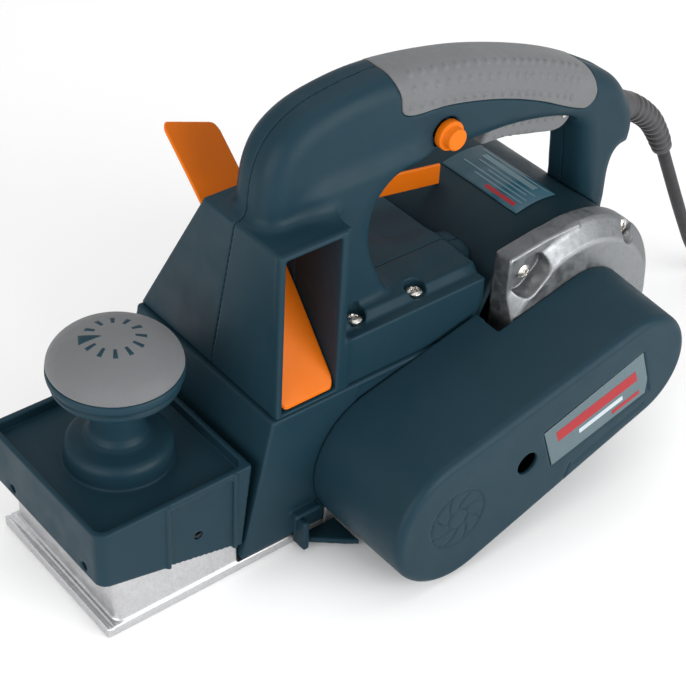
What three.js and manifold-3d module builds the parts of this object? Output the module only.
// Electric hand planer, millimetres, +Z up.
// Lengths are laid out from the front edge of the shoe (x = 0) towards the rear, across the sole
// (y = 0 in the middle of its width, -Y on the belt side) and up from the sole (z = 0).
// The finished group is shifted so that its origin is the middle of the rear sole's underside.

import * as THREE from 'three';
import { mergeVertices } from 'three/addons/utils/BufferGeometryUtils.js';
import Module from 'manifold-3d';

const wasm = await Module();
wasm.setup();

// ---------- driving dimensions ----------

const GAP = 0.3; // between touching pieces
const WALL = 3; // moulded housings
const FAR = 300; // long enough to cut right through anything

const SOLE_WIDTH = 112;
const SHOE = { back: 165, thick: 6.7, travel: 3, skirt: 54.8 };
const REAR_SOLE = { front: 211, back: 409, thick: 8 };
const ORIGIN_X = (REAR_SOLE.front + REAR_SOLE.back) / 2;

const BODY = { left: -59, right: 75, seam: 104.3, bottom: 10.8 };
const KNOB = { x: 46, y: 0, radius: 37.9, rim: 138.3, top: 157.8 };
const HOUSING = { front: -5, back: 96, half: 57.8, top: 80, recess: 73, bottom: 43 };
const TOWER = { front: 111.5, back: 160, ledge: 214, ledgeRight: 10.7 };
const CHUTE = { front: 115, back: 153, floor: 107, roof: 211 };
const DECK = { back: 264, edge: 137, top: 142 };
const HANDLE = { y: -18, half: 18, round: 13 };
const TRIGGER = { half: 12, pivotX: 342, pivotZ: 207 };
const BUTTON = { x: 241.5, z: 232.8, radius: 6.8, flange: 9 };

const DRUM = { x: 188, z: 31, radius: 28.5, knife: 30.6, half: 55 };
const MOTOR = { x: 324, z: 88, housing: 68, stator: 52, core: 28 };
const BELT = { y0: -111, y1: -91, drum: 20, motor: 16, thick: 2.5 };
const BRACKET = { y: -57.3, rim: -68, face: -78, radius: 71, nose: 60 };
const COVER = { face: -134, notchX: 257, draftX: 0.015, draftZ: 0.045, hole: 7.6 };
const COVER_FRONT = { x: 185.5, z: 47, r: 45 };
const COVER_REAR = { x: 323.5, z: 87.5, r: 38 };

const CORD = { radius: 4.25, coilMean: 94, layers: 2, turns: 4 };
const COIL = { x: 672, y: -12 };

// ---------- colours ----------

const TEAL = { color: 0x1d3b47, roughness: 0.5, metalness: 0 };
const DARK_TEAL = { color: 0x142a33, roughness: 0.5, metalness: 0 };
const GREY = { color: 0x77797b, roughness: 0.75, metalness: 0 };
const ORANGE = { color: 0xe26a12, roughness: 0.45, metalness: 0 };
const CAST = { color: 0xb9bbbd, roughness: 0.45, metalness: 0.9 };
const STEEL = { color: 0xc9c6c0, roughness: 0.25, metalness: 1 };
const COPPER = { color: 0xa85f36, roughness: 0.4, metalness: 0.9 };
const BLACK = { color: 0x1b1b1c, roughness: 0.8, metalness: 0 };

// ---------- solids ----------

// A closed three.js geometry as a manifold solid.
function solid(geometry) {
  const bare = geometry.index ? geometry.toNonIndexed() : geometry.clone();
  bare.deleteAttribute('normal');
  bare.deleteAttribute('uv');
  const merged = mergeVertices(bare, 1e-4);
  return new wasm.Manifold(new wasm.Mesh({
    numProp: 3,
    vertProperties: new Float32Array(merged.attributes.position.array),
    triVerts: new Uint32Array(merged.index.array),
  }));
}

function join(...parts) {
  return parts.reduce((whole, part) => whole.add(part));
}

function cut(whole, ...tools) {
  return tools.reduce((rest, tool) => rest.subtract(tool), whole);
}

function box(x0, x1, y0, y1, z0, z1) {
  const geometry = new THREE.BoxGeometry(x1 - x0, y1 - y0, z1 - z0);
  geometry.translate((x0 + x1) / 2, (y0 + y1) / 2, (z0 + z1) / 2);
  return solid(geometry);
}

// A cylinder across the machine, from y0 to y1.
function crossRod(x, z, radius, y0, y1, sides = 24) {
  const geometry = new THREE.CylinderGeometry(radius, radius, y1 - y0, sides);
  geometry.translate(x, (y0 + y1) / 2, z);
  return solid(geometry);
}

// An upright cylinder, from z0 to z1, which may taper.
function post(x, y, radius, z0, z1, sides = 14, topRadius = radius) {
  const geometry = new THREE.CylinderGeometry(topRadius, radius, z1 - z0, sides);
  geometry.rotateX(Math.PI / 2);
  geometry.translate(x, y, (z0 + z1) / 2);
  return solid(geometry);
}

// A cylinder along the machine, from x0 to x1.
function lengthRod(y, z, radius, x0, x1, sides = 10) {
  const geometry = new THREE.CylinderGeometry(radius, radius, x1 - x0, sides);
  geometry.rotateZ(Math.PI / 2);
  geometry.translate((x0 + x1) / 2, y, z);
  return solid(geometry);
}

// A side outline, drawn in x and z, made solid from y0 to y1.
// The edges are rounded by round, inside the outline; inset shrinks the whole solid.
function sideSlab(shape, y0, y1, { round = 0, inset = 0, steps = 3 } = {}) {
  const geometry = new THREE.ExtrudeGeometry(shape, {
    depth: y1 - y0 - 2 * inset - 2 * round,
    bevelEnabled: round > 0 || inset !== 0,
    bevelThickness: round,
    bevelSize: round,
    bevelOffset: -round - inset,
    bevelSegments: round > 0 ? steps : 1,
  });
  geometry.rotateX(Math.PI / 2);
  geometry.translate(0, y1 - inset - round, 0);
  return geometry;
}

// A front outline, drawn in y and z, made solid from x0 to x1.
function crossSlab(points, x0, x1) {
  const geometry = new THREE.ExtrudeGeometry(polygon(points), { depth: x1 - x0, bevelEnabled: false });
  geometry.rotateX(Math.PI / 2);
  geometry.rotateZ(Math.PI / 2);
  geometry.translate(x0, 0, 0);
  return solid(geometry);
}

function polygon(points) {
  return new THREE.Shape(points.map(([a, b]) => new THREE.Vector2(a, b)));
}

// A closed smooth outline through points.
function smooth(points, divisions = 36) {
  const curve = new THREE.CatmullRomCurve3(
    points.map(([a, b]) => new THREE.Vector3(a, b, 0)), true, 'centripetal');
  return polygon(curve.getPoints(divisions).slice(0, -1).map((p) => [p.x, p.y]));
}

// The outline of a belt round two circles, grown by grow.
function beltShape(a, b, grow = 0, arcSteps = 12) {
  const along = Math.atan2(b.z - a.z, b.x - a.x);
  const apart = Math.hypot(b.x - a.x, b.z - a.z);
  const half = Math.acos((a.r - b.r) / apart);
  const points = [];
  const arc = (circle, from, to) => {
    for (let i = 0; i <= arcSteps; i += 1) {
      const angle = from + ((to - from) * i) / arcSteps;
      const r = circle.r + grow;
      points.push([circle.x + r * Math.cos(angle), circle.z + r * Math.sin(angle)]);
    }
  };
  arc(b, along - half, along + half);
  arc(a, along + half, along - half + 2 * Math.PI);
  return polygon(points);
}

// A turned piece about an upright axis through x, y. Points are [radius, z].
function turned(x, y, points, sides = 28) {
  const geometry = new THREE.LatheGeometry(points.map(([r, z]) => new THREE.Vector2(r, z)), sides);
  geometry.rotateX(Math.PI / 2);
  geometry.translate(x, y, 0);
  return solid(geometry);
}

// A turned piece about an axis across the machine through x, z. Points are [radius, y].
function turnedAcross(x, z, points, sides = 28) {
  const geometry = new THREE.LatheGeometry(points.map(([r, y]) => new THREE.Vector2(r, y)), sides);
  geometry.translate(x, 0, z);
  return solid(geometry);
}

// Moves each corner of a geometry by a rule of its place.
function reshape(geometry, rule) {
  const place = geometry.attributes.position;
  const p = new THREE.Vector3();
  for (let i = 0; i < place.count; i += 1) {
    p.fromBufferAttribute(place, i);
    rule(p);
    place.setXYZ(i, p.x, p.y, p.z);
  }
  return geometry;
}

// A pan-head screw whose head top is at the origin and whose shank runs down -Z.
function screwSolid(head, headHeight, shank, length) {
  const body = join(
    turned(0, 0, [
      [0, -headHeight], [head, -headHeight], [head, -headHeight * 0.45], [head * 0.7, 0], [0, 0],
    ], 14),
    post(0, 0, shank, -length, -headHeight + 0.1, 8),
  );
  const slot = head * 0.6;
  return cut(
    body,
    box(-slot, slot, -0.5, 0.5, -headHeight * 0.5, 1),
    box(-0.5, 0.5, -slot, slot, -headHeight * 0.5, 1),
  );
}

// ---------- assembly ----------

const planer = new THREE.Group();
planer.position.x = -ORIGIN_X;

function add(name, material, manifold) {
  const { vertProperties, triVerts, numProp } = manifold.getMesh();
  const geometry = new THREE.BufferGeometry();
  const place = new Float32Array((vertProperties.length / numProp) * 3);
  for (let i = 0; i < place.length / 3; i += 1) {
    for (let k = 0; k < 3; k += 1) place[3 * i + k] = vertProperties[numProp * i + k];
  }
  geometry.setAttribute('position', new THREE.BufferAttribute(place, 3));
  geometry.setIndex(new THREE.BufferAttribute(new Uint32Array(triVerts), 1));
  geometry.computeVertexNormals();
  const mesh = new THREE.Mesh(geometry, new THREE.MeshStandardMaterial(material));
  mesh.name = name;
  planer.add(mesh);
  return mesh;
}

// ---------- base casting: rear sole, drum cheeks and the arm over the shoe ----------

const ARM = { front: 14, back: 156, half: 46, z0: 26, z1: 35 };
const CHEEK = { front: 149, back: 250, bottom: 4, top: 62, left: -72, right: 71, inner: 57 };
const DRUM_BEARING = { radius: 15, width: 10, shaft: 8 };

function baseCasting() {
  const half = SOLE_WIDTH / 2;
  const plate = box(REAR_SOLE.front, REAR_SOLE.back, -half, half, 0, REAR_SOLE.thick);
  const cheeks = [[-CHEEK.inner - 1.8, -CHEEK.inner], [CHEEK.inner, CHEEK.right]].map(([y0, y1]) => box(
    CHEEK.front, CHEEK.back, y0, y1, CHEEK.bottom, CHEEK.top));
  const beltBoss = box(CHEEK.front + 4, CHEEK.back, CHEEK.left, -CHEEK.inner - 1, 13, CHEEK.top)
    .intersect(coverInside(-WALL - 0.6));
  const tabs = [[-CHEEK.inner - 1, -half + 8], [half - 8, CHEEK.inner + 1]].map(([y0, y1]) => box(
    REAR_SOLE.front + 11, CHEEK.back, y0, y1, 0.5, 30));
  const ribs = [-half, half - 6].map((y) => box(
    REAR_SOLE.front + 14, 392, y, y + 6, REAR_SOLE.thick - 1, 17));
  const bridge = box(CHEEK.front, ARM.back, -CHEEK.inner - 1, CHEEK.inner + 1, ARM.z0, ARM.z1 + 8);
  const arm = box(ARM.front, ARM.back, -ARM.half, ARM.half, ARM.z0, ARM.z1);
  const bores = [
    crossRod(DRUM.x, DRUM.z, DRUM_BEARING.shaft + 1.2, -FAR, FAR),
    crossRod(DRUM.x, DRUM.z, DRUM_BEARING.radius + GAP, CHEEK.left + 4, -CHEEK.inner + 1),
    crossRod(DRUM.x, DRUM.z, DRUM_BEARING.radius + GAP, CHEEK.inner - 1, CHEEK.right - 3),
    post(KNOB.x, KNOB.y, 8, 0, 50),
    ...GUIDE_POSTS.map(([x, y]) => post(x, y, 4.4, 0, 50)),
  ];
  return cut(join(plate, ...cheeks, beltBoss, ...tabs, ...ribs, bridge, arm), ...bores);
}

const GUIDE_POSTS = [[112, -30], [112, 30]];

// ---------- front shoe: the sole that rises to set the depth of cut ----------

function frontShoe() {
  const half = SOLE_WIDTH / 2;
  const plate = box(0, SHOE.back, -half, half, 0, SHOE.thick);
  const skirtOuter = box(7, 84, -SHOE.skirt, SHOE.skirt, 0, 46);
  const skirtInner = box(11, 90, -SHOE.skirt + 4, SHOE.skirt - 4, SHOE.thick - 1, 60);
  const slope = solid(sideSlab(polygon([[0, 47], [92, 20], [FAR, 20], [FAR, 90], [0, 90]]), -90, 90));
  const skirt = cut(skirtOuter, skirtInner, slope);
  const nut = post(KNOB.x, KNOB.y, 12, SHOE.thick - 1, ARM.z0 - SHOE.travel - 0.6);
  const posts = GUIDE_POSTS.map(([x, y]) => post(x, y, 4, SHOE.thick - 1, ARM.z1 + 2));
  return cut(join(plate, skirt, nut, ...posts), post(KNOB.x, KNOB.y, 5 + GAP, 3, 60));
}

// ---------- front housing: box over the shoe with the knob's boss ----------

function housingOutline() {
  return polygon([
    [HOUSING.front, HOUSING.bottom], [89.8, 22],
    [HOUSING.back, HOUSING.top], [HOUSING.front, HOUSING.top],
  ]);
}

function frontHousing() {
  const wall = 2.5;
  const outer = solid(sideSlab(housingOutline(), -HOUSING.half, HOUSING.half));
  const inner = solid(sideSlab(polygon([
    [HOUSING.front + wall, 0], [87, 0],
    [HOUSING.back - wall - 0.5, HOUSING.recess - WALL], [HOUSING.front + wall, HOUSING.recess - WALL],
  ]), -HOUSING.half + wall, HOUSING.half - wall));
  const recess = box(HOUSING.front + 4, HOUSING.back - 3, -51.5, 51.5, HOUSING.recess, 90);
  const boss = turned(KNOB.x, KNOB.y, [
    [0, HOUSING.recess - 1], [31, HOUSING.recess - 1], [31, 82], [28, 87], [17.5, 91.5],
    [15, 95], [15, 117], [0, 117],
  ], 24);
  const mounts = [[22, -34], [22, 34], [82, -34], [82, 34]].map(([x, y]) => post(
    x, y, 5, ARM.z1 + GAP, HOUSING.recess - 1, 16));
  const screwWay = post(KNOB.x, KNOB.y, 5.6, 0, 130);
  const guideHoles = [
    lengthRod(33.5, 48, 2.6, -20, 8), lengthRod(-41.5, 48, 2.6, -20, 8),
    crossRod(60.4, 45.4, 3, -70, -40, 16), crossRod(60.4, 45.4, 3, 40, 70, 16),
  ];
  const armWay = box(80, 100, -ARM.half - 1, ARM.half + 1, 0, ARM.z1 + 0.6);
  const shell = cut(outer, inner, recess, armWay);
  return cut(join(shell, boss, ...mounts), screwWay, ...guideHoles);
}

// ---------- depth knob ----------

const KNOB_CORE = 131; // lower edge of the knob's band

function depthKnob() {
  const r = KNOB.radius;
  return cut(
    turned(KNOB.x, KNOB.y, [
      [0, 118], [13, 118], [15, 119], [24, 121.5], [33, 125], [36.6, 128.5], [36.9, KNOB_CORE - 0.6],
      [35.9, KNOB_CORE - 0.3], [r, KNOB_CORE + 0.4], [r + 0.3, KNOB.rim - 3], [r, KNOB.rim], [0, KNOB.rim],
    ], 24),
    post(KNOB.x, KNOB.y, 5 + GAP, 100, 127),
  );
}

function knobPad() {
  const r = KNOB.radius - 0.2;
  const height = KNOB.top - KNOB.rim;
  const dome = [[0, KNOB.rim + GAP]];
  for (let i = 0; i <= 6; i += 1) {
    const angle = (i / 6) * (Math.PI / 2);
    dome.push([r * Math.cos(angle), KNOB.rim + GAP + (height - GAP) * Math.sin(angle)]);
  }
  dome[dome.length - 1][0] = 0;
  return turned(KNOB.x, KNOB.y, dome, 24);
}

function depthScrew() {
  return post(KNOB.x, KNOB.y, 5, 10, 126.6, 20);
}

// ---------- lower body ----------

function lowerBody() {
  const outline = (inset, bottom) => polygon([
    [88.8 + inset, bottom], [108.7 + inset, BODY.seam - inset], [262, BODY.seam - inset],
    [262, 60], [400 - inset, 60], [404 - inset, bottom],
  ]);
  const outer = solid(sideSlab(outline(0, BODY.bottom), BODY.left, BODY.right));
  const inner = solid(sideSlab(outline(WALL, -5), BODY.left + WALL, BODY.right - WALL));
  const chipWay = box(CHUTE.front, CHUTE.back, -48, 62, 90, 120);
  const armWay = box(85, 130, -ARM.half - 1, ARM.half + 1, 0, ARM.z1 + 0.6);
  const beltSide = box(CHEEK.front - 1, FAR * 2, BODY.left - 5, -49, -5, CHEEK.top + 2);
  const bracketSide = box(250, FAR * 2, BODY.left - 5, BRACKET.y + 1.5, -5, 130);
  const motorSpace = crossRod(MOTOR.x, MOTOR.z, MOTOR.housing + GAP, -90, 90, 40);
  const screwWays = BODY_SCREWS.map(([x, y]) => post(x, y, 2 + GAP, 90, 120, 12));
  return join(
    cut(outer, inner, chipWay, armWay, beltSide, bracketSide, motorSpace, ...screwWays),
    drumGuard(),
  );
}

// A low foot before the belt cover keeps fingers from the drum's end.
function drumGuard() {
  const foot = new THREE.ExtrudeGeometry(
    polygon([[128, -59.6], [131, -62], [150, -78], [157, -83], [157, -59.6]]),
    { depth: 3.6, bevelEnabled: false });
  foot.translate(0, 0, 3);
  return join(solid(foot), box(127, 131, -68, BODY.left + 1, 3, 24));
}

const BODY_SCREWS = [[175.5, -44], [220, -44]];
const SCREW_TOP = 138.2;

// ---------- upper body: tower, deck and D-handle, in two halves ----------

// The whole D as if it were solid: over the tower, along the bar and down the rear pillar.
function handleOutline() {
  const crown = new THREE.CatmullRomCurve3([
    [119, 190], [119, 222], [123, 246], [131, 260], [147, 271], [172, 277], [203, 278.5], [256, 271],
    [296, 260], [336, 245], [366, 229.5], [386, 216], [399, 198], [404, 183], [403, 171], [400, 163],
  ].map(([x, z]) => new THREE.Vector3(x, z, 0)), false, 'centripetal');
  return polygon([...crown.getPoints(30).map((p) => [p.x, p.y]), [400, 90], [119, 90]]);
}

// Below the bar's rear end the pillar steps in, leaving a lip over the cord.
function rearNotch() {
  return smooth([
    [389, 70], [389, 135], [389.5, 157], [392.5, 164.5], [399, 166], [410, 167], [450, 167], [450, 70],
  ], 24);
}

// The finger loop, between the tower, the deck, the motor housing and the handle's bar.
function loopOutline() {
  return smooth([
    [222, 220], [205, 217], [193.5, 206], [189.5, 191], [191.5, 173], [199, 155], [206, 143],
    [230, DECK.top], [262, DECK.top - 1], [300, 134], [340, 128], [358, 140], [358, 160],
    [355.5, 182], [351, 196], [340, 203.5], [300, 213], [262, 215], [240, 217],
  ], 38);
}

// The soft grip covers the bar above this line.
function gripZone() {
  return smooth([
    [207, 266], [209, 256], [215, 252.5], [242, 250], [280, 241], [312, 229], [346, 212.5],
    [354, 210.5], [360.5, 215], [360, 228], [352, 246], [346, 300], [280, 320], [203, 320], [200, 292],
  ], 36);
}

function throughSlab(shape, y0 = -90, y1 = 90) {
  return solid(sideSlab(shape, y0, y1));
}

// A cutter outside one face of a slab, that eases into the face so that the edge left is round.
function flare(shape, face, outward, round, grow) {
  const depth = 40;
  const geometry = new THREE.ExtrudeGeometry(shape, {
    depth, bevelEnabled: true, bevelThickness: round, bevelSize: round, bevelOffset: grow, bevelSegments: 3,
  });
  geometry.rotateX(Math.PI / 2);
  geometry.translate(0, outward > 0 ? face + depth : face, 0);
  return solid(reshape(geometry, (p) => {
    const depthIn = (face - p.y) * outward;
    if (depthIn <= 0 || depthIn > round + 0.01) return;
    const spread = Math.sqrt(Math.max(round ** 2 - depthIn ** 2, 0));
    p.y = face - outward * (round - Math.sqrt(Math.max(round ** 2 - (round - spread) ** 2, 0)));
  }));
}

function handleBar(inset) {
  const y0 = HANDLE.y - HANDLE.half;
  const y1 = HANDLE.y + HANDLE.half;
  const whole = solid(sideSlab(handleOutline(), y0, y1, { round: HANDLE.round, inset, steps: 3 }));
  const loop = loopOutline();
  return cut(
    whole,
    solid(sideSlab(loop, -70, 40, { inset: -inset })),
    flare(loop, y0 + inset, -1, HANDLE.round, inset),
    flare(loop, y1 - inset, 1, HANDLE.round, inset),
    throughSlab(rearNotch()),
  );
}

// The cavity behind the handle's skin, for the switch, the trigger and the leads.
function handleCavities() {
  const { y } = HANDLE;
  return [
    box(274, 351, y - TRIGGER.half - 0.8, y + TRIGGER.half + 0.8, 190, 232.5),
    box(262, 320, y - 11, y + 11, 232, 244),
    box(330, 385, y - 9, y + 9, 205, 216),
    crossRod(BUTTON.x, BUTTON.z, BUTTON.flange + 0.5, -40, HANDLE.y - HANDLE.half + 6.5),
    crossRod(BUTTON.x, BUTTON.z, 5.5, -40, HANDLE.y + 3, 20),
    box(236, 268, y - 6, y + 3, 228, 238),
  ];
}

function upperBody() {
  const tower = crossSlab([
    [-57, BODY.seam + GAP], [BODY.right, BODY.seam + GAP], [TOWER.ledgeRight, TOWER.ledge],
    [-57, TOWER.ledge],
  ], TOWER.front, TOWER.back);
  const deck = crossSlab([
    [-57, BODY.seam + GAP], [BODY.right, BODY.seam + GAP], [54, DECK.edge], [44, DECK.top],
    [-46, DECK.top], [-50, DECK.edge], [-57, DECK.edge],
  ], TOWER.back - 5, DECK.back);
  const shoulder = crossSlab([
    [-50, DECK.edge], [38, DECK.top - 3], [8, 176], [-4, 212], [-36, 212], [-43, 176],
  ], TOWER.back - 5, 206);
  const body = join(
    tower, deck, cut(shoulder, throughSlab(loopOutline())),
    cut(handleBar(0), box(TOWER.back - 40, DECK.back - 8, -90, 90, 0, DECK.edge - 10)),
  );
  const chute = box(CHUTE.front, CHUTE.back, -90, 90, CHUTE.floor, CHUTE.roof);
  const chipWay = box(CHUTE.front, CHUTE.back, -48, 62, 90, CHUTE.floor + 1);
  const deckHollow = crossSlab([
    [-53.5, 90], [66, 90], [46, DECK.edge - 4], [-53.5, DECK.edge - 4],
  ], TOWER.back + 4, DECK.back - 4);
  const bosses = BODY_SCREWS.map(([x, y]) => box(x - 6, x + 6, -56, y + 6, BODY.seam + GAP, DECK.edge));
  const hollow = cut(deckHollow, ...bosses);
  const pockets = BODY_SCREWS.map(([x, y]) => join(
    post(x, y, 6.8, SCREW_TOP - 4.2, 165), post(x, y, 2 + GAP, 90, 160, 12)));
  const gripRecess = cut(
    solid(sideSlab(gripZone(), -90, 90, { inset: -GAP })), handleBar(2.8));
  const motor = crossRod(MOTOR.x, MOTOR.z, MOTOR.housing + GAP, -90, 90, 40);
  const leadWay = strainReliefWay();
  return cut(
    body, chute, chipWay, hollow, ...pockets, gripRecess, motor, leadWay, ...handleCavities());
}

// The halves meet on a plane that leans from the middle of the tower's foot to the handle's middle.
function rightSide(shift) {
  const foot = 4 + shift;
  const top = HANDLE.y + shift;
  return crossSlab([
    [foot, 60], [150, 60], [150, 330], [top, 330], [top, TOWER.ledge], [foot, BODY.seam],
  ], -50, 480);
}

function softGrip() {
  return cut(handleBar(0).intersect(throughSlab(gripZone())), handleBar(2.5));
}

// ---------- trigger, lock button and switch ----------

function trigger() {
  const shape = smooth([
    [277, 209], [279, 216], [284, 225], [300, 226.5], [330, 219], [347, 210], [347.5, 203],
    [340, 197.5], [318, 201.5], [296, 207], [284, 208],
  ], 24);
  const { y } = HANDLE;
  const body = solid(sideSlab(shape, y - TRIGGER.half, y + TRIGGER.half, { round: 1.2, steps: 2 }));
  return cut(body, crossRod(TRIGGER.pivotX, TRIGGER.pivotZ, 2 + 0.1, -60, 30, 16));
}

function triggerPin() {
  const { y } = HANDLE;
  return crossRod(
    TRIGGER.pivotX, TRIGGER.pivotZ, 2, y - TRIGGER.half - 0.5, y + TRIGGER.half + 0.5, 16);
}

function lockButton() {
  const face = HANDLE.y - HANDLE.half;
  return turnedAcross(BUTTON.x, BUTTON.z, [
    [0, face - 10], [5.6, face - 10], [BUTTON.radius, face - 8.8], [BUTTON.radius, face - 4.6],
    [BUTTON.flange, face - 4.2], [BUTTON.flange, face - 0.2], [5, face - 0.2], [5, face + 12],
    [0, face + 12],
  ], 16);
}

function switchBlock() {
  const { y } = HANDLE;
  return join(
    box(264, 318, y - 10, y + 10, 234.5, 243),
    box(292, 300, y - 4, y + 4, 233.6, 236),
  );
}

// ---------- chip deflector and hand guard ----------

// Across the chute the sheet climbs from the left sill, flattens and stands out over the right side.
const DEFLECTOR_LINE = [
  [-57.5, 110], [-37, 135], [-14, 166], [2, 187], [14, 199.5], [30, 214], [56, 236],
];

function deflector() {
  const thick = 2.2;
  const curve = new THREE.CatmullRomCurve3(DEFLECTOR_LINE.map(([y, z]) => new THREE.Vector3(y, z, 0)));
  const middle = curve.getPoints(14);
  const side = (sign) => middle.map((p, i) => {
    const t = curve.getTangent(i / 14);
    return [p.x - sign * t.y * thick / 2, p.y + sign * t.x * thick / 2];
  });
  const outline = [...side(1), ...side(-1).reverse()];
  const shape = polygon(outline);
  const x0 = CHUTE.front + 0.6;
  const x1 = CHUTE.back - 0.6;
  const geometry = new THREE.ExtrudeGeometry(shape, { depth: x1 - x0, bevelEnabled: false, steps: 3 });
  geometry.rotateX(Math.PI / 2);
  geometry.rotateZ(Math.PI / 2);
  geometry.translate(x0, 0, 0);
  // The sheet falls away towards the rear, more the further it reaches out.
  reshape(geometry, (p) => {
    const reach = THREE.MathUtils.smoothstep(p.y, -45, 30);
    p.z -= 13 * reach * ((p.x - x0) / (x1 - x0));
  });
  const sheet = solid(geometry);
  const cheek = crossSlab([[24, 198], [52, 217], [56, 149], [51, 149], [42, 166]], x1 - 2.2, x1);
  const reach = { x: 292 - x1, y: -33 };
  const length = Math.hypot(reach.x, reach.y);
  const band = new THREE.BoxGeometry(length, thick, 14);
  band.translate(length / 2, 0, 0);
  band.rotateZ(Math.atan2(reach.y, reach.x));
  band.translate(x1 - 1.5, 53.6, 156);
  return join(sheet, cheek, solid(band));
}

// ---------- motor: housing, end bracket, stator, armature ----------

const MOTOR_END = 75;

function motorHousing() {
  const { x, z, housing } = MOTOR;
  const shell = turnedAcross(x, z, [
    [0, MOTOR_END - 3.4], [12, MOTOR_END - 3.4], [12, MOTOR_END - 14], [16.5, MOTOR_END - 14],
    [16.5, MOTOR_END - 4], [housing - 3.5, MOTOR_END - 4], [housing - 3.5, BRACKET.y + GAP],
    [housing, BRACKET.y + GAP], [housing, MOTOR_END - 5], [housing - 5, MOTOR_END], [0, MOTOR_END],
  ], 28);
  const ribs = [45, 135, 225, 315].map((degrees) => {
    const geometry = new THREE.BoxGeometry(housing - 2 - (MOTOR.stator + GAP), 100, 6);
    geometry.translate((housing - 2 + MOTOR.stator + GAP) / 2, 10, 0);
    geometry.rotateY(THREE.MathUtils.degToRad(degrees));
    geometry.translate(x, 0, z);
    return solid(geometry);
  });
  const vents = [];
  for (let i = -3; i <= 3; i += 1) {
    const middle = z + i * 12;
    if (i !== 0) vents.push(box(x - 30, x + 30, MOTOR_END - 8, MOTOR_END + 5, middle - 2, middle + 2));
  }
  return cut(join(shell, ...ribs), ...vents);
}

const BRACKET_SCREWS = [[283.7, 139.4], [364.6, 139.4]];

function motorBracket() {
  const { x, z } = MOTOR;
  const disc = turnedAcross(x, z, [
    [10, BRACKET.face], [BRACKET.nose, BRACKET.face], [BRACKET.radius, BRACKET.rim],
    [BRACKET.radius, BRACKET.y], [62, BRACKET.y], [62, BRACKET.y - 8], [20, BRACKET.y - 8],
    [20, BRACKET.y], [16.3, BRACKET.y], [16.3, BRACKET.y - 15], [10, BRACKET.y - 15],
    [10, BRACKET.face],
  ], 28);
  const ear = solid(sideSlab(polygon([
    [266, 100], [266, 149], [270, 154], [298, 158], [318, 158.5], [318, 120], [285, 100],
  ]), BRACKET.rim, BRACKET.y));
  const pockets = BRACKET_SCREWS.map(([sx, sz]) => crossRod(sx, sz, 6.4, -90, BRACKET.rim + 3.4, 20));
  const holes = BRACKET_SCREWS.map(([sx, sz]) => crossRod(sx, sz, 2.4, -90, BRACKET.y + 5, 12));
  const coverSide = box(200, 259, -90, -40, 0, 200);
  return cut(join(disc, ear), coverSide, ...pockets, ...holes);
}

function bracketScrew([x, z]) {
  const piece = screwSolid(5, 3.2, 2, 9);
  return piece.rotate([90, 0, 0]).translate([x, BRACKET.rim - 0.2, z]);
}

function stator() {
  const { x, z, stator: outer } = MOTOR;
  const ring = cut(crossRod(x, z, outer, -30, 28, 20), crossRod(x, z, MOTOR.core + 1, -60, 60, 20));
  const windings = [-30, 28].map((y) => cut(
    crossRod(x, z, outer - 6, y - 6, y + 6, 16), crossRod(x, z, MOTOR.core + 3, -60, 60, 16)));
  return join(ring, ...windings);
}

function armature() {
  const { x, z, core } = MOTOR;
  return turnedAcross(x, z, [
    [0, BELT.y0 - 3], [6, BELT.y0 - 3], [6, -32], [core - 5, -30], [core, -26], [core, 28],
    [core - 5, 33], [12, 36], [12, 37], [17, 37], [17, 52], [6, 52], [6, MOTOR_END - 5.5],
    [0, MOTOR_END - 5.5],
  ], 16);
}

function coolingFan() {
  const { x, z } = MOTOR;
  const disc = cut(crossRod(x, z, 50, -54, -50, 28), crossRod(x, z, 6 + GAP, -60, -30, 24));
  const blades = [];
  const count = 9;
  for (let i = 0; i < count; i += 1) {
    const geometry = new THREE.BoxGeometry(26, 9, 2);
    geometry.translate(35, -46.5, 0);
    geometry.rotateY((i / count) * 2 * Math.PI);
    geometry.translate(x, 0, z);
    blades.push(solid(geometry));
  }
  return join(disc, ...blades);
}

function bearing(x, z, outer, inner, y0, y1) {
  return cut(crossRod(x, z, outer, y0, y1, 24), crossRod(x, z, inner + 0.1, y0 - 1, y1 + 1, 24));
}

function pulley(x, z, radius, bore) {
  return turnedAcross(x, z, [
    [bore + GAP, BELT.y0 - 1], [radius, BELT.y0 - 1], [radius, BELT.y1 - 0.2], [radius + 1.6, BELT.y1 + 0.4],
    [radius + 1.6, BELT.y1 + 2], [bore + GAP, BELT.y1 + 2], [bore + GAP, BELT.y0 - 1],
  ], 24);
}

function brushHolder(side) {
  const x0 = MOTOR.x + side * 18.5;
  const x1 = MOTOR.x + side * 42;
  const [low, high] = [Math.min(x0, x1), Math.max(x0, x1)];
  return cut(
    box(low, high, 39, 51, MOTOR.z - 6, MOTOR.z + 6),
    box(low - 1, high + 1, 41, 49, MOTOR.z - 4, MOTOR.z + 4),
  );
}

function carbonBrush(side) {
  const x0 = MOTOR.x + side * 17.4;
  const x1 = MOTOR.x + side * 34;
  return box(Math.min(x0, x1), Math.max(x0, x1), 41.3, 48.7, MOTOR.z - 3.7, MOTOR.z + 3.7);
}

function ratingPlate() {
  const points = [];
  const inner = MOTOR.housing + GAP;
  const at = (r, degrees) => {
    const a = THREE.MathUtils.degToRad(degrees);
    return [MOTOR.x + r * Math.sin(a), MOTOR.z + r * Math.cos(a)];
  };
  for (let d = -16; d <= 11; d += 3) points.push(at(inner, d));
  for (let d = 11; d >= -16; d -= 3) points.push(at(inner + 0.9, d));
  return solid(sideSlab(polygon(points.reverse()), -36, 31));
}

// ---------- cutter drum ----------

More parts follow.
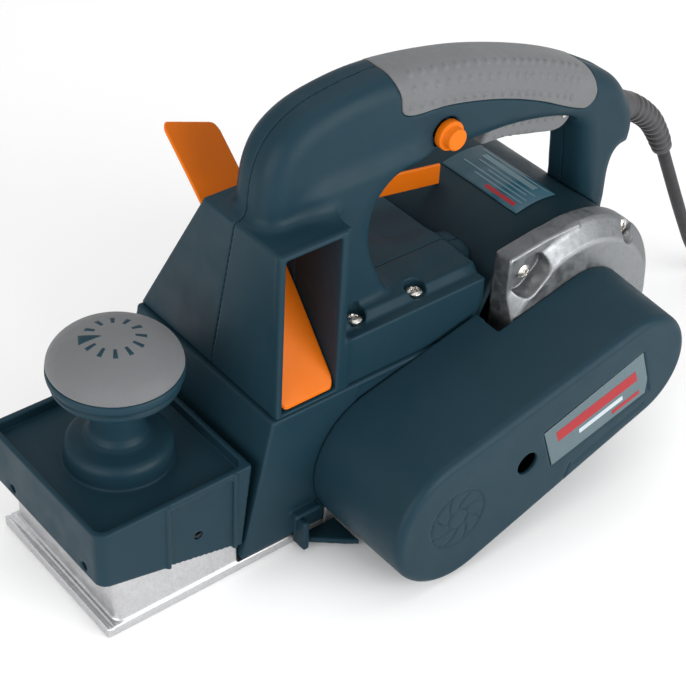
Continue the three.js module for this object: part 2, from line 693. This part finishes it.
function cutterDrum() {
  const { x, z, radius, half } = DRUM;
  const { shaft } = DRUM_BEARING;
  const body = turnedAcross(x, z, [
    [0, BELT.y0 - 3], [6, BELT.y0 - 3], [6, -86], [shaft, -85], [shaft, -half - 0.5], [radius, -half],
    [radius, half], [shaft, half + 0.5], [shaft, CHEEK.right - 2], [0, CHEEK.right - 2],
  ], 24);
  const slots = [0, 180].map((degrees) => knifeBlock(degrees, 14 + GAP, 17, radius + 4, half + 2));
  return cut(body, ...slots);
}

// A block that fills a knife's slot in the drum, turned to its place about the drum's axis.
function knifeBlock(degrees, width, inner, outer, half) {
  const geometry = new THREE.BoxGeometry(outer - inner, 2 * half, width);
  geometry.translate((outer + inner) / 2, 0, 0);
  geometry.rotateY(THREE.MathUtils.degToRad(degrees + 20));
  geometry.translate(DRUM.x, 0, DRUM.z);
  return solid(geometry);
}

function knife(degrees) {
  const geometry = new THREE.BoxGeometry(DRUM.knife - 18, 2 * DRUM.half - 1, 3);
  geometry.translate((DRUM.knife + 18) / 2, 0, 5);
  geometry.rotateY(THREE.MathUtils.degToRad(degrees + 20));
  geometry.translate(DRUM.x, 0, DRUM.z);
  return solid(geometry).intersect(crossRod(DRUM.x, DRUM.z, DRUM.knife, -70, 70, 48));
}

function knifeClamp(degrees) {
  const geometry = new THREE.BoxGeometry(DRUM.radius - 18, 2 * DRUM.half - 1, 9.5);
  geometry.translate((DRUM.radius + 18) / 2, 0, -1.8);
  geometry.rotateY(THREE.MathUtils.degToRad(degrees + 20));
  geometry.translate(DRUM.x, 0, DRUM.z);
  return solid(geometry).intersect(crossRod(DRUM.x, DRUM.z, DRUM.radius, -70, 70, 48));
}

// ---------- belt and its cover ----------

function driveBelt() {
  const a = { x: DRUM.x, z: DRUM.z, r: BELT.drum + GAP };
  const b = { x: MOTOR.x, z: MOTOR.z, r: BELT.motor + GAP };
  return cut(
    solid(sideSlab(beltShape(a, b, BELT.thick), BELT.y0, BELT.y1 - 0.6)),
    solid(sideSlab(beltShape(a, b), BELT.y0 - 5, BELT.y1 + 5)),
  );
}

// The cover widens from its face to its rim, away from a point low in its middle.
function drafted(geometry) {
  const middle = (COVER_FRONT.x + COVER_REAR.x) / 2 - 3.5;
  return reshape(geometry, (p) => {
    const reach = (p.y - COVER.face) / (BODY.left - COVER.face);
    p.x = middle + (p.x - middle) * (1 + COVER.draftX * reach);
    p.z = 2.8 + (p.z - 2.8) * (1 + COVER.draftZ * reach);
  });
}

function coverInside(grow) {
  return solid(drafted(sideSlab(beltShape(COVER_FRONT, COVER_REAR, grow), COVER.face + WALL, 0)));
}

function beltCover() {
  const outer = solid(drafted(sideSlab(
    beltShape(COVER_FRONT, COVER_REAR), COVER.face, BODY.left - GAP, { round: 5, steps: 2 })));
  const squareBack = solid(drafted(sideSlab(
    beltShape(COVER_FRONT, COVER_REAR), COVER.face + 12, BODY.left - GAP)));
  const inner = coverInside(-WALL);
  const rearStep = box(COVER.notchX, FAR * 2, BRACKET.face - GAP, 0, -5, 200);
  const badgeRecess = solid(sideSlab(badgeShape(0.6), COVER.face - 5, COVER.face + 1.1));
  const screwHole = crossRod(...COVER_SCREW, COVER.hole, COVER.face - 5, COVER.face + 20, 24);
  return cut(join(outer, squareBack), inner, rearStep, badgeRecess, screwHole);
}

const COVER_SCREW = [236.2, 62.5];

function badgeShape(grow) {
  return polygon([
    [257.4, 50 - grow], [335 + grow, 70 - grow], [323 + grow, 103.8 + grow], [246.8 - grow, 79.6 + grow],
  ]);
}

function coverBadge() {
  return solid(sideSlab(badgeShape(0), COVER.face + 0.1, COVER.face + 0.8));
}

// The cover's screw stands in a pillar on the cheek, inside the cover.
function coverScrew() {
  const piece = screwSolid(5, 3.5, 2.4, 40);
  return piece.rotate([90, 0, 0]).translate([COVER_SCREW[0], COVER.face + 6, COVER_SCREW[1]]);
}

// ---------- strain relief, cord and plug ----------

const LEAD_START = [398, 190];
const LEAD_LINE = [LEAD_START, [410, 184.2], [423, 176], [436, 164.5], [446, 150.5], [452.5, 139]];

function leadCurve(points, y = HANDLE.y) {
  return new THREE.CatmullRomCurve3(points.map(([x, z]) => new THREE.Vector3(x, y, z)), false, 'centripetal');
}

// A tube along a curve whose radius follows a rule of how far along it is.
function taperedTube(curve, radiusAt, steps, sides) {
  const section = new THREE.Shape();
  section.absarc(0, 0, 1, 0, 2 * Math.PI, false);
  const geometry = new THREE.ExtrudeGeometry(section, {
    steps, bevelEnabled: false, extrudePath: curve, curveSegments: sides,
  });
  const points = curve.getSpacedPoints(steps);
  return reshape(geometry, (p) => {
    let nearest = 0;
    points.forEach((q, i) => {
      if (p.distanceTo(q) < p.distanceTo(points[nearest])) nearest = i;
    });
    const centre = points[nearest];
    const radius = radiusAt(nearest / steps);
    p.sub(centre).multiplyScalar(radius).add(centre);
  });
}

function strainRelief() {
  const sleeve = solid(taperedTube(leadCurve(LEAD_LINE), (t) => THREE.MathUtils.lerp(8.6, 6, t), 8, 10));
  return cut(sleeve, cordSpace());
}

function strainReliefWay() {
  const wide = solid(taperedTube(leadCurve([[393, 191.5], ...LEAD_LINE]), () => 9.6, 8, 12));
  return join(wide, box(376, 400, HANDLE.y - 6, HANDLE.y + 6, 186, 196));
}

const CORD_LINE = [
  [449.5, HANDLE.y, 144.3], [458, HANDLE.y, 128], [467, -17.5, 111], [479, -17, 88], [493, -16.5, 62],
  [508, -16, 36], [524, -15.6, 16], [545, -15, 6], [568, -17, CORD.radius],
  [592, -27, CORD.radius], [609, -40.5, CORD.radius],
];

function cordSpace() {
  const bore = leadCurve([[446, 150.5], [452.5, 139], [458, 128]]);
  return solid(taperedTube(bore, () => CORD.radius + 0.8, 4, 8));
}

function cordTube() {
  const curve = new THREE.CatmullRomCurve3(
    CORD_LINE.map(([x, y, z]) => new THREE.Vector3(x, y, z)), false, 'centripetal');
  return solid(taperedTube(curve, () => CORD.radius, 16, 8));
}

function cordCoil() {
  const thick = CORD.layers * CORD.radius * 2;
  const width = CORD.turns * CORD.radius * 2;
  const inner = (CORD.coilMean - width) / 2;
  const outer = (CORD.coilMean + width) / 2;
  return turned(COIL.x, COIL.y, [
    [inner, 0], [outer - 3, 0], [outer, 3], [outer, thick - 3], [outer - 3, thick], [inner, thick],
    [inner, 0],
  ], 24);
}

function powerPlug() {
  const body = turned(0, 0, [
    [0, 0], [18.5, 0], [18.5, 15], [14, 20], [12.5, 34], [6.5, 40], [5.5, 52], [0, 52],
  ], 16);
  const pins = [-9.5, 9.5].map((x) => post(x, 0, 2.4, -19, 1, 10));
  const outerTurn = (CORD.coilMean + (CORD.turns - 1) * CORD.radius * 2) / 2;
  return join(body, ...pins).rotate([90, 0, 0]).translate([COIL.x + outerTurn, COIL.y + 92, 18.5]);
}

// ---------- build ----------

add('base_casting', CAST, baseCasting());
add('front_shoe', CAST, frontShoe());
add('front_housing', TEAL, frontHousing());
add('depth_screw', STEEL, depthScrew());
add('depth_knob', TEAL, depthKnob());
add('knob_pad', GREY, knobPad());
add('lower_body', TEAL, lowerBody());

const upper = upperBody();
add('handle_left', TEAL, cut(upper, rightSide(-GAP / 2)));
add('handle_right', TEAL, upper.intersect(rightSide(GAP / 2)));
add('soft_grip', GREY, softGrip());
add('trigger', GREY, trigger());
add('trigger_pin', STEEL, triggerPin());
add('lock_button', ORANGE, lockButton());
add('switch_block', BLACK, switchBlock());
BODY_SCREWS.forEach(([x, y], i) => {
  add(['body_screw_front', 'body_screw_rear'][i], STEEL,
    screwSolid(4.8, 3.2, 2, 42).translate([x, y, SCREW_TOP]));
});
add('chip_deflector', ORANGE, deflector());

add('motor_housing', DARK_TEAL, motorHousing());
add('motor_bracket', CAST, motorBracket());
BRACKET_SCREWS.forEach((place, i) => {
  add(['bracket_screw_front', 'bracket_screw_rear'][i], STEEL, bracketScrew(place));
});
add('stator', COPPER, stator());
add('armature', STEEL, armature());
add('cooling_fan', BLACK, coolingFan());
add('motor_bearing_left', STEEL, bearing(MOTOR.x, MOTOR.z, 16, 6, BRACKET.y - 14.5, BRACKET.y - 4.5));
add('motor_bearing_right', STEEL, bearing(MOTOR.x, MOTOR.z, 11.7, 6, MOTOR_END - 13.5, MOTOR_END - 5));
[['front', -1], ['rear', 1]].forEach(([place, side]) => {
  add(`brush_holder_${place}`, COPPER, brushHolder(side));
  add(`carbon_brush_${place}`, BLACK, carbonBrush(side));
});
add('rating_plate', STEEL, ratingPlate());

add('cutter_drum', STEEL, cutterDrum());
[['a', 0], ['b', 180]].forEach(([letter, degrees]) => {
  add(`knife_${letter}`, STEEL, knife(degrees));
  add(`knife_clamp_${letter}`, STEEL, knifeClamp(degrees));
});
add('drum_bearing_left', STEEL,
  bearing(DRUM.x, DRUM.z, DRUM_BEARING.radius, DRUM_BEARING.shaft, CHEEK.left + 4.3, -CHEEK.inner - 0.3));
add('drum_bearing_right', STEEL,
  bearing(DRUM.x, DRUM.z, DRUM_BEARING.radius, DRUM_BEARING.shaft, CHEEK.inner + 0.3, CHEEK.right - 3.3));
add('drum_pulley', STEEL, pulley(DRUM.x, DRUM.z, BELT.drum, 6));
add('motor_pulley', STEEL, pulley(MOTOR.x, MOTOR.z, BELT.motor, 6));
add('drive_belt', BLACK, driveBelt());
add('belt_cover', TEAL, beltCover());
add('cover_badge', GREY, coverBadge());
add('cover_screw', STEEL, coverScrew());

add('strain_relief', BLACK, strainRelief());
add('cord_tube', BLACK, cordTube());
add('cord_coil', BLACK, cordCoil());
add('power_plug', BLACK, powerPlug());

export default planer;
